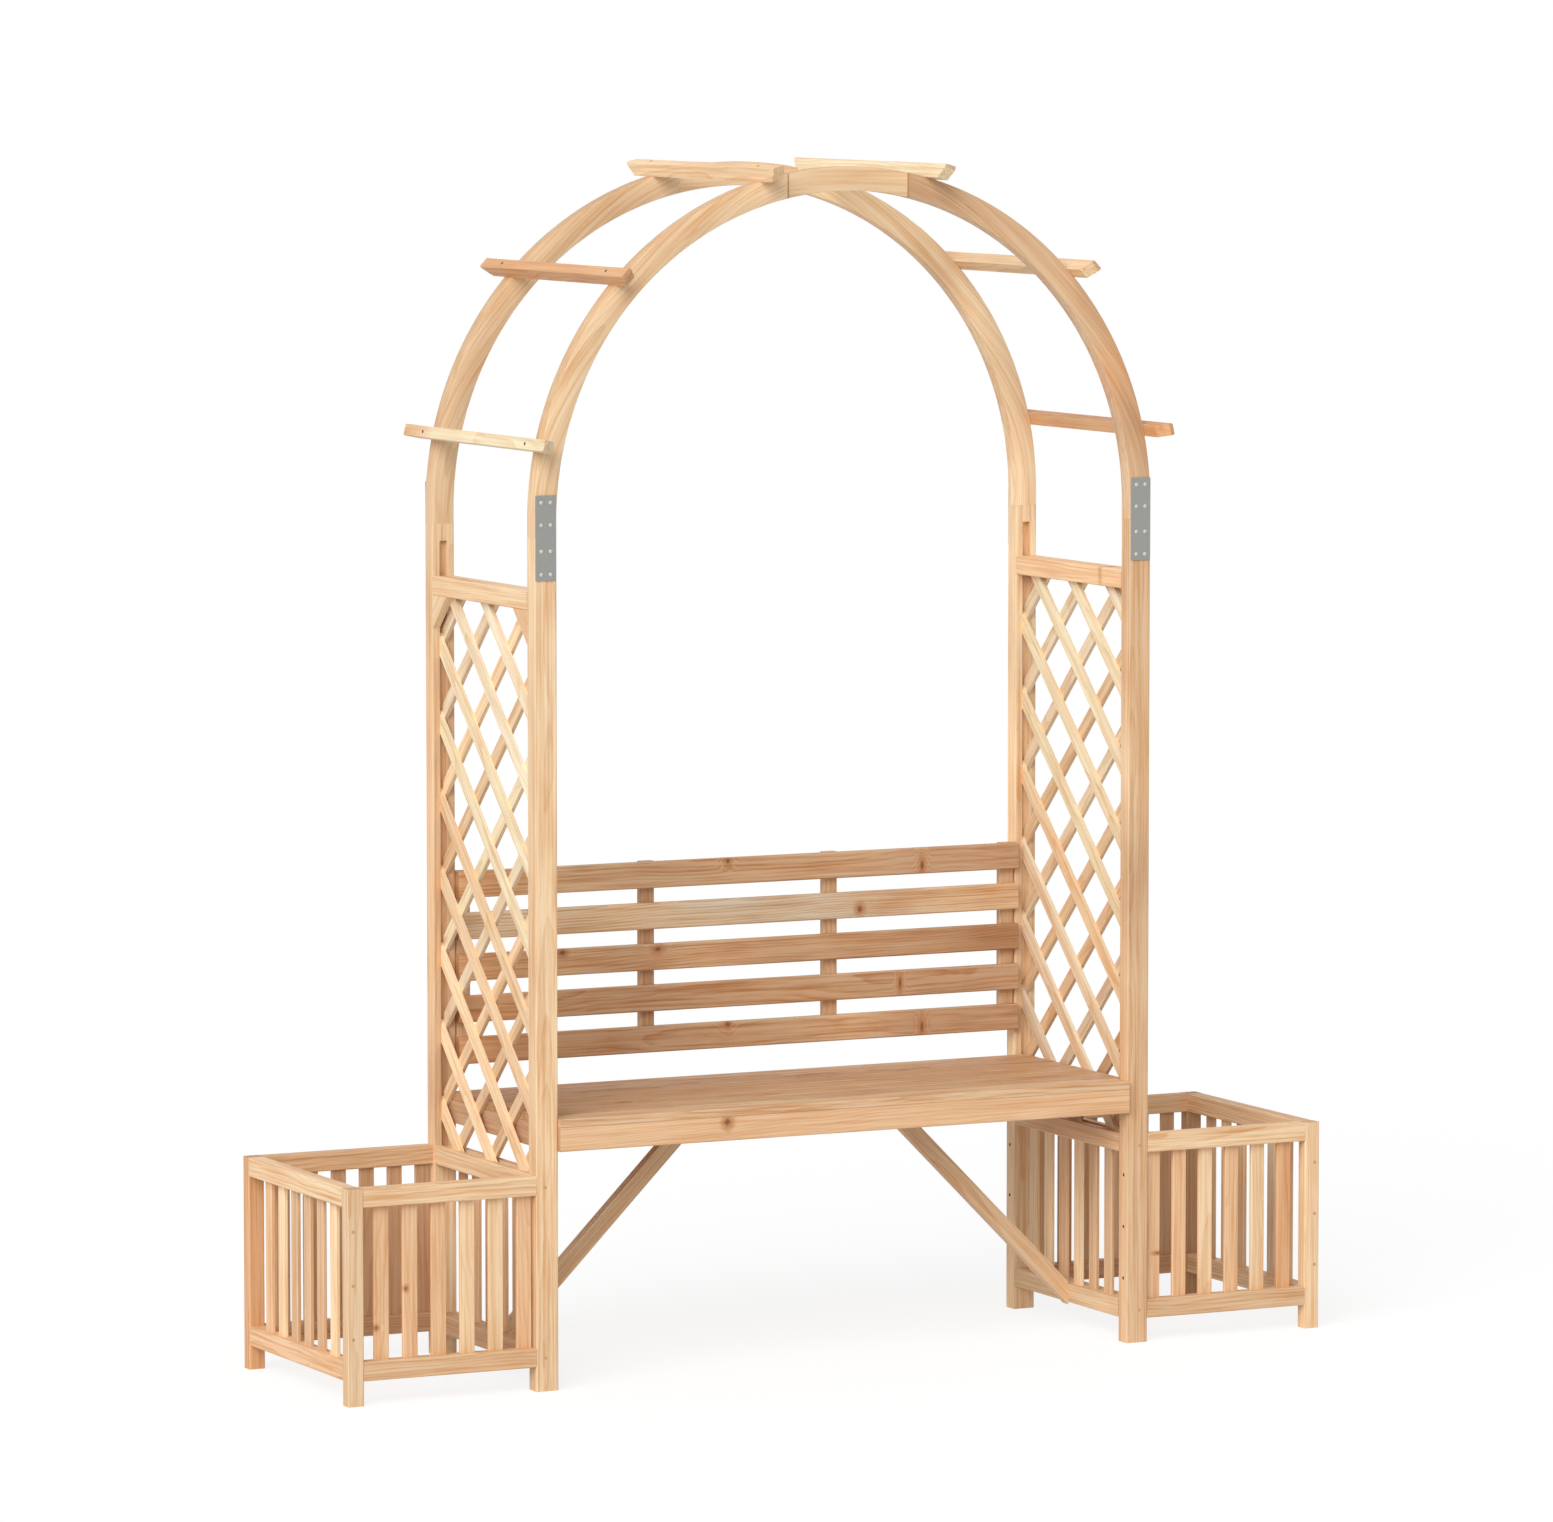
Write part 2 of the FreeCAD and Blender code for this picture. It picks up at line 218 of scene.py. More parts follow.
# Tints of the boards: white pine, cream, gold, apricot, honey, pale straw, straw, amber, rose,
# drab, orange, biscuit, tan, umber and nut
TINTS = {
    "W": paint(243, 222, 188), "C": paint(238, 214, 173), "G": paint(247, 210, 165),
    "F": paint(247, 201, 152), "H": paint(234, 196, 152), "P": paint(228, 200, 164),
    "S": paint(224, 187, 145), "A": paint(229, 183, 138), "R": paint(216, 175, 133),
    "D": paint(210, 184, 153), "O": paint(217, 162, 114), "B": paint(200, 158, 118),
    "T": paint(197, 152, 109), "U": paint(192, 149, 112), "N": paint(172, 126, 86)}
WHITE = (1.0, 1.0, 1.0, 1.0)
PALE_FLOOR = (0.86, 0.86, 0.86, 1.0)

# Early and late wood are a board's tint times these
EARLY_WOOD = (1.085, 1.18, 1.29, 1.0)
LATE_WOOD = (0.79, 0.60, 0.43, 1.0)
KNOT_RIM = paint(184, 124, 78)
KNOT_HEART = paint(122, 74, 44)
# The next two colours: a pale one for worn edges that is also painted light on the front arch's inner
# face, and a dark one for sawn ends and joints that is also painted shade on the arches' outer face
WORN_AND_PAINTED_LIGHT = paint(252, 230, 198)
END_GRAIN_AND_PAINTED_SHADE = paint(176, 130, 86)


# Wood

RING_WIDTH = 4.6
KNOT_PUSH = 9.0

# The features of the grain: length along it and width across it in millimetres, and detail
GRAIN_FEATURES = {
    "ragged": (7.0, 7.0, 2.0), "wander": (420.0, 90.0, 2.0), "waver": (90.0, 30.0, 2.0),
    "streak": (260.0, 5.0, 3.0), "fibre": (40.0, 0.9, 1.0), "patch": (150.0, 30.0, 2.0),
    "warmth": (210.0, 11.0, 2.0), "scuff": (24.0, 3.0, 3.0)}


class Shader(Tree):
    """A material under construction."""

    def __init__(self, name):
        self.material = bpy.data.materials.new(name)
        self.material.use_nodes = True
        super().__init__(self.material.node_tree)
        self.tree.nodes.clear()

    def noise(self, x, y, z, detail=2.0):
        """Noise with features about one unit wide, less its mean."""
        return self.node("ShaderNodeTexNoise", {"noise_dimensions": "3D"},
                         {"Vector": self.vector(x, y, z), "Scale": 1.0, "Detail": detail}) - 0.5

    def mix(self, factor, first, second, blend="MIX"):
        return self.node("ShaderNodeMix", {"data_type": "RGBA", "blend_type": blend},
                         {0: factor, 6: first, 7: second}, output=2)

    def times(self, first, second):
        """Two colours multiplied."""
        return self.mix(1.0, first, second, "MULTIPLY")

    def chances(self, seed):
        """Three random numbers from 0 to 1 that belong to a seed."""
        white = self.node("ShaderNodeTexWhiteNoise", {"noise_dimensions": "1D"},
                          {"W": seed}, "Color")
        red = self.node("ShaderNodeSeparateColor", None, {0: white})
        return [red] + self.others(red, 1, 2)

    def pick(self, place, tints, interpolation):
        """The tint at a place: the first from 0 to 1, the next from 1 to 2 and so on."""
        count = len(tints)
        middle = 0.5 if interpolation == "LINEAR" else 0.0
        stops = [((i + middle) / count, TINTS[tint]) for i, tint in enumerate(tints)]
        return self.node("ShaderNodeValToRGB", {"stops": (interpolation, stops)}, {0: place / count})

    def place(self):
        """Where a point is on the object, in millimetres."""
        return [axis / MM for axis in
                self.split(self.node("ShaderNodeTexCoord", output="Object"))]

    def surface(self, shader):
        self.node("ShaderNodeOutputMaterial", None, {"Surface": shader})
        return self.material


def knot_marks(knots, along, across, board, ragged):
    """How far knots push the rings aside, and the masks of their rims and hearts."""
    push, halo, heart = 0.0, 0.0, 0.0
    next_board = 50.0
    for number, at, off, length, width in knots:
        distance = (((along - at) / length) ** 2.0 + ((across - off) / width) ** 2.0
                    + ((board - number) * next_board) ** 2.0) ** 0.5 + ragged * 0.9
        push = push + (1.0 - distance.smooth(0.3, 4.0)) * KNOT_PUSH
        halo = (1.0 - distance.smooth(0.8, 2.4)).maximum(halo)
        heart = (1.0 - distance.smooth(0.2, 1.0)).maximum(heart)
    return push, halo, heart


def late_wood(along, across, through, chances, bend):
    """1 in the dark part of each growth ring. The rings lie about a pith that is beside the
    board and runs out of it slowly, and bend is how far they leave their circle."""
    chance, chance2, chance3 = chances
    pith_across = (chance3 - 0.5) * 110.0 + along * ((chance - 0.5) * 0.05)
    pith_through = 20.0 + chance * 60.0 + along * ((chance2 - 0.5) * 0.04)
    radius = ((across + pith_across) ** 2.0 + (through + pith_through) ** 2.0) ** 0.5
    ring = ((radius + bend) / RING_WIDTH).fraction()
    return ring ** 2.5 * (1.0 - ring.smooth(0.9, 1.0))


def painted_side_light(side, along, across):
    """Painted light on a post's narrow faces, painted shade where side is below 1, which fades out near
    its top.
    """
    narrow = (abs(across) - (POST_HALF_WIDTH - 0.4)).smooth(0.0, 0.2)
    return 1.0 + narrow * (1.0 - along.smooth(400.0, 680.0)) * (side - 1.0)


def board_tint(s, tints, fade, along, board):
    """The tint of each board, or those that follow each other along one board."""
    if not fade:
        return s.pick(board + 0.5, tints, "CONSTANT")
    start, stop = fade
    return s.pick((along - start) * (len(tints) / (stop - start)), tints, "LINEAR")


def wood(name, layout, tints, seed, knots=(), contrast=1.0, rings=0.45, fade=None, side=1.0):
    """Planed softwood. The layout tells where a point lies on its board. Each board has a
    letter of TINTS, or with fade = (start, end) they follow each other along one board.
    A knot is (board, along, across, half length, half width). Contrast is that of all the
    grain, rings the share of the growth rings in it, and side a painted light on a post's
    narrow faces up to near its top, and painted shade where it is below 1."""
    s = Shader(name)
    along, across, through, board, edge, end = layout(s)

    # Each board has its own place in the noise
    chances = s.chances(board + seed)
    shifted = [place + chance * reach for place, chance, reach in
               zip((along, across, through), chances, (9000.0, 900.0, 700.0))]

    def feature(kind):
        length, width, detail = GRAIN_FEATURES[kind]
        return s.noise(shifted[0] / length, shifted[1] / width, shifted[2] / width, detail)

    # Growth rings, streaks, fibres and patches darken its tint
    push, halo, heart = knot_marks(knots, along, across, board, feature("ragged"))
    bend = feature("wander") * 30.0 + feature("waver") * 5.0 + push
    late = late_wood(along, across, through, chances, bend)
    streak = feature("streak")
    fibre = feature("fibre")
    grain = (late - 0.24) * rings + streak * 1.5 + fibre * 0.4 + feature("patch") * 0.8
    depth = (grain * contrast + 0.3).clamp()
    tint = board_tint(s, tints, fade, along, board)
    colour = s.mix(depth, s.times(tint, EARLY_WOOD), s.times(tint, LATE_WOOD))

    # Boards differ a little in shade, and each drifts between pink and yellow
    shade = 0.97 + chances[1] * 0.05
    # A post's narrow faces get painted light, and painted shade where side is below 1
    if side != 1.0:
        shade = shade * painted_side_light(side, along, across)
    warm = feature("warmth") * (0.3 * contrast)
    colour = s.times(colour, s.vector(shade, shade * (1.0 - warm * 0.7), shade * (1.0 - warm * 1.4)))
    if knots:
        colour = s.mix(halo * 0.75, colour, KNOT_RIM)
        colour = s.mix(heart * 0.85, colour, KNOT_HEART)

    # Long edges are worn a touch paler, sawn ends are darker and show the rings. On the arches the
    # edge mask also carries painted light on the front inner face, and the end mask painted shade on
    # the outer face
    scuff = (feature("scuff") * 2.0 + 0.6).clamp()
    colour = s.mix(edge * scuff * 0.25, colour, WORN_AND_PAINTED_LIGHT)
    colour = s.mix(end * (0.45 + late * 0.4), colour, END_GRAIN_AND_PAINTED_SHADE)
    height = fibre * 0.7 + late * (rings * 1.1) + scuff * edge * 0.5
    bump = s.node("ShaderNodeBump", None, {"Strength": 0.25, "Distance": 0.3 * MM, "Height": height})
    return s.surface(s.node("ShaderNodeBsdfPrincipled", None, {
        "Base Color": colour, "Roughness": 0.52 + streak * 0.25 + late * 0.1, "Normal": bump,
        "Specular IOR Level": 0.35}))


# Layouts: how the boards of a node lie. Each gives a point's place along, across and through
# its board in millimetres, the number of the board, and masks of its long edges and its ends;
# an arch's masks also carry painted light on the front inner face and painted shade on the outer face

def rim(across, half_across, through, half_through):
    """1 on the long edges of a board and 0 two millimetres from them."""
    wear = 2.2
    return ((abs(across) - (half_across - wear)).smooth(0.0, wear)
            * (abs(through) - (half_through - wear)).smooth(0.0, wear))


def tip(along, half_length):
    """1 on the end faces of a board."""
    return (abs(along) - (half_length - 0.25)).smooth(0.0, 0.1)


def single(node):
    """The layout of a node that is one straight board along an axis."""
    middle, half = middle_mm(node), half_mm(node)
    thin, wide, long_way = sorted(range(3), key=lambda axis: half[axis])

    def layout(s):
        place = [axis - at for axis, at in zip(s.place(), middle)]
        along, across, through = place[long_way], place[wide], place[thin]
        edge = rim(across, half[wide], through, half[thin])
        return along, across, through, along * 0.0, edge, tip(along, half[long_way])
    return layout


def row(node, across_way, through_way, first, pitch, half_width, ends=False):
    """The layout of a node's like boards in a row, numbered outwards from X = 0 or from the
    front. It serves the node's mirror image too. Only with ends do end faces get a mask."""
    long_way = X + Y + Z - across_way - through_way
    level = middle_mm(node)[through_way]
    half = half_mm(node)

    def layout(s):
        place = s.place()
        count_from = abs(place[X]) if across_way == X else place[across_way]
        step = (count_from - first) / pitch
        across = (step.fraction() - 0.5) * pitch
        through = abs(place[through_way]) - level
        edge = rim(across, half_width, through, half[through_way])
        end = tip(place[long_way], half[long_way]) if ends else across * 0.0
        return place[long_way], across, through, step.floor(), edge, end
    return layout


def slats(node, across_way, through_way):
    """The layout of a node's six upright slats."""
    count, half_width = 6, 13.0
    low, high = [corner[across_way] for corner in box_mm(node)]
    pitch = (high - low - 2 * half_width) / (count - 1)
    first = low + half_width - pitch / 2
    return row(node, across_way, through_way, first, pitch, half_width)


def seat_rows(node):
    """The layout of the seven seat boards. The rows are 0.6 mm narrower than a board with its
    gap, so the grain drifts up to 4 mm by the rear."""
    count, gap = 7, 4.0
    front, rear = [corner[Y] for corner in box_mm(node)]
    pitch = (rear - front) / count
    return row(node, Y, Z, front - gap / 2, pitch, (pitch - gap) / 2, ends=True)


def laths(fall):
    """The layout of one layer of the trellis, numbered from the lowest lath up."""
    pitch_y, pitch_z, level, lowest = 134.6, 131.0, 1216.0, -8.0
    half_width, wear = 11.0, 1.6
    angle = math.atan2(pitch_z, pitch_y)
    cos, sin = math.cos(angle), math.sin(angle) * fall

    def layout(s):
        x, y, z = s.place()
        step = (z - y * (math.tan(angle) * fall) - level) / pitch_z
        across = (step.fraction() - 0.5) * (pitch_z * cos)
        edge = (abs(across) - (half_width - wear)).smooth(0.0, wear) * 0.7
        return y * cos + z * sin, across, x, step.floor() - lowest, edge, x * 0.0
    return layout


def planter_rim(node):
    """The layout of the rails round a planter: 0 the outer one, 1 front, 2 rear."""
    level = middle_mm(node)[Z]
    inner_face = CORNER_Y - CORNER_HALF_DEPTH
    half_height = half_mm(node)[Z]
    half_depth = (CORNER_HALF_WIDTH + CORNER_HALF_DEPTH) / 2

    def layout(s):
        x, y, z = s.place()
        cross = (abs(y) - (inner_face - 0.5)).smooth(-0.3, 0.3)
        along = cross * x + (1.0 - cross) * y
        through = cross * (abs(y) - CORNER_Y) + (1.0 - cross) * (abs(x) - CORNER_X)
        across = z - level
        board = cross * (1.0 + y.smooth(-1.0, 1.0))
        edge = rim(across, half_height, through, half_depth)
        return along, across, through, board, edge, x * 0.0
    return layout


def cross_bars(long_way, wide_way):
    """The layout of the four bars under the seat or behind the backrest."""
    thin_way = X + Y + Z - long_way - wide_way
    outer = 340.0    # the outer bars lie beyond this on either side

    def layout(s):
        place = s.place()
        board = (place[X] / outer + 2.0).floor()
        return (place[long_way], place[wide_way], place[thin_way], board, board * 0.0,
                board * 0.0)
    return layout


def slanted(side):
    """The layout of a brace at 45 degrees."""
    half_width, half_depth = 14.0, half_mm("brace_right")[Y]
    head, top = box_mm("brace_right")[0][X], box_mm("brace_right")[1][Z]
    middle_line = (head + top) * DIAGONAL + half_width

    def layout(s):
        x, y, z = s.place()
        along = x * (side * DIAGONAL) - z * DIAGONAL
        across = x * (side * DIAGONAL) + z * DIAGONAL - middle_line
        return along, across, y, x * 0.0, rim(across, half_width, y, half_depth), x * 0.0
    return layout


def corners(s):
    """The layout of the gussets, grain along their long side."""
    x, y, z = s.place()
    board = x.smooth(-1.0, 1.0) * 2.0 + y.smooth(-1.0, 1.0)
    return (z - abs(y)) * DIAGONAL, (z + abs(y)) * DIAGONAL, x, board, x * 0.0, x * 0.0


def bent(crown):
    """The layout of an arch segment, from the attribute that its bending leaves. Its grain
    bends less than the segment, because it is sawn from wider boards."""
    middle = 0.0 if crown else math.radians(45.0)
    near_face = POST_HALF_WIDTH - 0.6
    rise = 27.0

    def layout(s):
        grain = s.node("ShaderNodeAttribute", {"attribute_name": "grain"}, output="Vector")
        along, across, through = [axis / MM for axis in s.split(grain)]
        swing = along / ARCH_RADIUS - middle
        level = across - (1.0 - (swing * 4.0).math("COSINE")) * rise

        # Painted shade darkens the curve's outer face down to the straight foot, and the front crown's
        # joints are darker. Painted light makes the front arch's inner face paler
        x, y, z = s.place()
        front = 1.0 - y.smooth(-1.0, 1.0)
        outer_painted_shade = (across - near_face).smooth(0.0, 0.3) * (0.5 - along.smooth(700.0, 880.0) * 0.5)
        joint = (1.0 - abs(abs(x) - CROWN_HALF).smooth(0.7, 2.0)) * front * 1.8
        inner_painted_light = (-across - near_face).smooth(0.0, 0.3) * front * 1.4
        edge = rim(across, POST_HALF_WIDTH, through, POST_HALF_DEPTH).maximum(inner_painted_light)
        return along, level, through, along * 0.0, edge, outer_painted_shade.maximum(joint)
    return layout


# The boards' looks

# The tints of each node's boards. Where a row is shorter than its boards, the last one goes on
BOARD_TINTS = {
    "back_battens": "RBRR", "back_slat_1": "OBUBBRUU", "back_slat_2": "OBUBBBUU",
    "back_slat_3": "ORBRBBUN", "back_slat_4": "PSDDR", "back_slat_5": "ORBBBBUU",
    "brace_left": "S", "brace_right": "S", "corner_gussets": "AHRA", "low_rail_left": "B",
    "low_rail_right": "S", "middle_rail_left": "H", "middle_rail_right": "A",
    "planter_post_front_left": "S", "planter_post_front_right": "H",
    "planter_post_rear_left": "O", "planter_post_rear_right": "N",
    "planter_rails_bottom_left": "ARU", "planter_rails_bottom_right": "SRU",
    "planter_rails_top_left": "HHR", "planter_rails_top_right": "RHR",
    "planter_slats_front_left": "AHHAAA", "planter_slats_front_right": "AAHAHO",
    "planter_slats_rear_left": "UUUUBB", "planter_slats_rear_right": "RUBSRU",
    "planter_slats_side_left": "GRRRGA", "planter_slats_side_right": "SDRRHB",
    "post_front_left": "SHHHHHHH", "post_front_right": "RRRRBSRR",
    "post_rear_left": "SHBRRRRS", "post_rear_right": "HHHHHHSG",
    "purlin_low_left": "CCCCCCCA", "purlin_low_right": "O", "purlin_mid_left": "O",
    "purlin_mid_right": "H", "purlin_top_left": "G", "purlin_top_right": "C",
    "seat_bearers": "U", "seat_boards": "RBTTTUT", "seat_front_rail": "A",
    "seat_rear_rail": "B", "top_rail_left": "H", "top_rail_right": "F",
    "trellis_falling_left": "GGGHHCCWWW", "trellis_rising_left": "SSSHPCSGPP",
    "trellis_falling_right": "DDPPHCCCCW", "trellis_rising_right": "BBDRSPSPPP",
    "wall_slats_left": "BBRBRB", "wall_slats_right": "RRGAGH"}

ARCH_TINTS = {
    "front_left": "H", "front_right": "BRRRROBR", "front_crown": "H",
    "rear_left": "SRSHSSSS", "rear_right": "GHHSGHHG", "rear_crown": "H"}

# Painted light on each arbour post's narrow faces, standing in for how the lamp falls on them; below 1
# it is painted shade
POST_SIDE_PAINTED_LIGHT = {
    "post_front_left": 0.905, "post_front_right": 1.10, "post_rear_left": 1.14,
    "post_rear_right": 1.15}

KNOTS = {
    "back_slat_5": [(0, -30.0, 18.0, 6.0, 6.0), (0, 345.0, -8.0, 5.0, 13.0)],
    "back_slat_4": [(0, 224.0, -7.0, 7.0, 8.0)],
    "back_slat_3": [(0, -163.0, 14.0, 9.0, 6.0), (0, -343.0, 17.0, 8.0, 6.0)],
    "back_slat_2": [(0, 302.0, 0.0, 4.0, 14.0)],
    "back_slat_1": [(0, -30.0, 18.0, 6.0, 6.0), (0, 345.0, -8.0, 5.0, 13.0)],
    "seat_front_rail": [(0, -228.0, 11.0, 8.0, 9.0)],
    "planter_slats_front_left": [(4, 188.0, 8.0, 4.5, 4.0), (5, 126.0, 10.0, 4.0, 4.0)],
    "planter_slats_front_right": [(0, 150.0, 9.0, 3.0, 8.0)],
    "seat_boards": [(2, -350.0, 6.0, 9.0, 6.0), (5, 260.0, -8.0, 8.0, 6.0)],
    "top_rail_right": [(0, -115.0, 0.0, 5.0, 14.0)]}


# Layouts and settings of the grain, by the start of a node's name. The bench shows more grain,
# narrow slats have fewer rings, and the tints of back slats, purlins and posts follow each
# other along the board
LAYOUTS = {
    "planter_rails_top": planter_rim("planter_rails_top_right"),
    "planter_rails_bottom": planter_rim("planter_rails_bottom_right"),
    "planter_slats_side": slats("planter_slats_side_right", Y, X),
    "planter_slats": slats("planter_slats_rear_right", X, Y),
    "wall_slats": slats("wall_slats_right", Y, X),
    "seat_boards": seat_rows("seat_boards"),
    "trellis_falling": laths(1), "trellis_rising": laths(-1),
    "seat_bearers": cross_bars(Y, Z), "back_battens": cross_bars(Z, X),
    "brace_right": slanted(1), "brace_left": slanted(-1), "corner_gussets": corners}

GRAIN_SETTINGS = {
    "seat_boards": {"contrast": 1.8},
    "back_slat": {"contrast": 1.8, "fade": (-SLAT_FADE, SLAT_FADE)},
    "purlin": {"fade": (-PURLIN_FADE, PURLIN_FADE)},
    "planter_rails": {"contrast": 1.4},
    "planter_slats": {"rings": 0.35}, "wall_slats": {"rings": 0.35},
    "post": {"contrast": 1.3, "rings": 0.3, "fade": (-POST_HALF_HEIGHT, POST_HALF_HEIGHT)}}


def by_start(table, node, other):
    """The first entry of a table whose key begins the node's name, or else the other value."""
    return next((entry for start, entry in table.items() if node.startswith(start)), other)


def metal(name, colour, worn, roughness, metallic=0.0):
    """Zinc-coated steel with a faint mottle."""
    s = Shader(name)
    x, y, z = s.place()
    mottle = s.noise(x / 4.0, y / 4.0, z / 4.0, 3.0)
    scratch = s.noise(x / 1.2, y / 1.2, z / 14.0, 2.0)
    blend = (mottle * 0.7 + scratch * 0.5 + 0.5).clamp()
    bump = s.node("ShaderNodeBump", None, {"Strength": 0.12, "Distance": 0.1 * MM, "Height": scratch})
    return s.surface(s.node("ShaderNodeBsdfPrincipled", None, {
        "Base Color": s.mix(blend, colour, worn), "Metallic": metallic,
        "Roughness": roughness + mottle * 0.2, "Normal": bump}))


def dress_frame():
    """Gives every CAD node that stays its wood or metal."""
    zinc = metal("galvanised_sheet", paint(158, 158, 152), paint(142, 143, 140), 0.55)
    for number, (node, part) in enumerate(sorted(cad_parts.items())):
        if node == "splice_plates":
            part.material_slots[0].material = zinc
        elif not node.startswith("arch_"):
            layout = by_start(LAYOUTS, node, None) or single(node)
            part.material_slots[0].material = wood(
                "wood_" + node, layout, BOARD_TINTS[node], 3.7 * number + 1.3,
                KNOTS.get(node, ()), side=POST_SIDE_PAINTED_LIGHT.get(node, 1.0),
                **by_start(GRAIN_SETTINGS, node, {}))


# Geometry Nodes

def add_object(name, data):
    """A new object in the scene, at the origin."""
    item = bpy.data.objects.new(name, data)
    bpy.context.scene.collection.objects.link(item)
    return item


class Shape(Tree):
    """A Geometry Nodes tree under construction, with named inputs."""

    def __init__(self, name, inputs):
        group = bpy.data.node_groups.new(name, "GeometryNodeTree")
        super().__init__(group)
        group.interface.new_socket("Geometry", in_out="INPUT", socket_type="NodeSocketGeometry")
        for label, kind in inputs:
            group.interface.new_socket(label, in_out="INPUT", socket_type="NodeSocket" + kind)
        group.interface.new_socket("Geometry", in_out="OUTPUT", socket_type="NodeSocketGeometry")
        entry = group.nodes.new("NodeGroupInput")
        self.input = {socket.name: Value(self, socket) for socket in entry.outputs if socket.name}

    def finish(self, geometry):
        """Ends the tree: real mesh, its material, and the output."""
        real = self.node("GeometryNodeRealizeInstances", None, {0: geometry})
        dressed = self.node("GeometryNodeSetMaterial", None,
                            {"Geometry": real, "Material": self.input["Material"]})
        self.node("NodeGroupOutput", None, {0: dressed})


def grow(name, shape, start, values):
    """Runs a Geometry Nodes tree on a start mesh and keeps the result as a plain mesh."""
    holder = add_object(name + "_start", start)
    modifier = holder.modifiers.new("shape", "NODES")
    modifier.node_group = shape.tree
    for item in shape.tree.interface.items_tree:
        if item.in_out == "INPUT" and item.name in values:
            modifier[item.identifier] = values[item.name]
    bpy.context.view_layer.update()
    mesh = bpy.data.meshes.new_from_object(holder.evaluated_get(bpy.context.evaluated_depsgraph_get()))
    mesh.materials.clear()
    mesh.materials.append(values["Material"])
    holder.modifiers.remove(modifier)
    bpy.data.objects.remove(holder)
    return add_object(name, mesh)


def bending_tree():
    """A straight eased bar, bent to an arch segment and trimmed square at the crown."""
    g = Shape("bent member", [("Start", "Float"), ("End", "Float"), ("Crown", "Bool"),
                              ("Side", "Float"), ("Rear Face", "Float"), ("Material", "Material")])
    line = g.node("GeometryNodeCurvePrimitiveLine", None, {
        "Start": g.vector(g.input["Start"], 0.0, 0.0), "End": g.vector(g.input["End"], 0.0, 0.0)})
    fine = g.node("GeometryNodeResampleCurve", None, {"Curve": line, "Count": ARCH_POINTS})
    section = g.node("GeometryNodeCurvePrimitiveQuadrilateral", None,
                     {"Width": 2 * POST_HALF_DEPTH * MM, "Height": 2 * POST_HALF_WIDTH * MM})
    eased = g.node("GeometryNodeFilletCurve", {"mode": "POLY"},
                   {"Curve": section, "Radius": ARCH_EASE * MM, "Count": 2})
    bar = g.node("GeometryNodeCurveToMesh", None,
                 {"Curve": fine, "Profile Curve": eased, "Fill Caps": True})
    along, through, across = g.split(g.node("GeometryNodeInputPosition"))
    marked = g.node("GeometryNodeStoreNamedAttribute", {"data_type": "FLOAT_VECTOR", "domain": "POINT"},
                    {"Geometry": bar, "Name": "grain", "Value": g.vector(along, across, through)})

    # The angle from the top: a side segment ends at its foot, and both kinds at the crown's joint
    radius = across + ARCH_RADIUS * MM
    turn = along / (ARCH_RADIUS * MM)
    cut = (CROWN_HALF * MM / radius).math("ARCSINE")
    side_turn = turn.maximum(cut).minimum(math.pi / 2)
    crown_turn = turn.maximum(-cut).minimum(cut)
    bend = g.node("GeometryNodeSwitch", {"input_type": "FLOAT"},
                  {0: g.input["Crown"], 1: side_turn, 2: crown_turn})
    leg = (along - ARCH_QUARTER * MM).maximum(0.0)
    place = g.vector(radius * bend.math("SINE") * g.input["Side"], through + g.input["Rear Face"],
                     radius * bend.math("COSINE") + ARCH_CENTRE * MM - leg)
    g.finish(g.node("GeometryNodeSetPosition", None, {"Geometry": marked, "Position": place}))
    return g


def build_arches():
    """Six bent members in place of the arch nodes."""
    shape = bending_tree()
    for number, (name, tints) in enumerate(ARCH_TINTS.items()):
        end, part = name.split("_")
        crown = part == "crown"
        # A bar starts beyond its joint, where the tree trims it
        start, stop = (-130.0, 130.0) if crown else (90.0, ARCH_QUARTER + ARCH_LEG)
        material = wood("wood_arch_" + name, bent(crown), tints, 14.0 + 5.3 * number,
                        rings=0.08 if crown else 0.35, fade=None if crown else (100.0, 890.0))
        piece = grow("bent_arch_" + name, shape, bpy.data.meshes.new("bar"), {
            "Start": start * MM, "End": stop * MM, "Crown": crown,
            "Side": -1.0 if part == "left" else 1.0,
            "Rear Face": (-POST_Y if end == "front" else POST_Y) * MM, "Material": material})
        fix_normals(piece)
        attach(piece, "root")
        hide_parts("arch_" + name)


def fix_normals(piece):
    """Faces outwards, smooth along the curve and crisp at the ends."""
    mesh = bmesh.new()
    mesh.from_mesh(piece.data)
    bmesh.ops.remove_doubles(mesh, verts=mesh.verts, dist=1e-6)
    bmesh.ops.recalc_face_normals(mesh, faces=mesh.faces)
    mesh.to_mesh(piece.data)
    mesh.free()
    piece.data.shade_smooth()
    piece.data.set_sharp_from_angle(angle=math.radians(35))


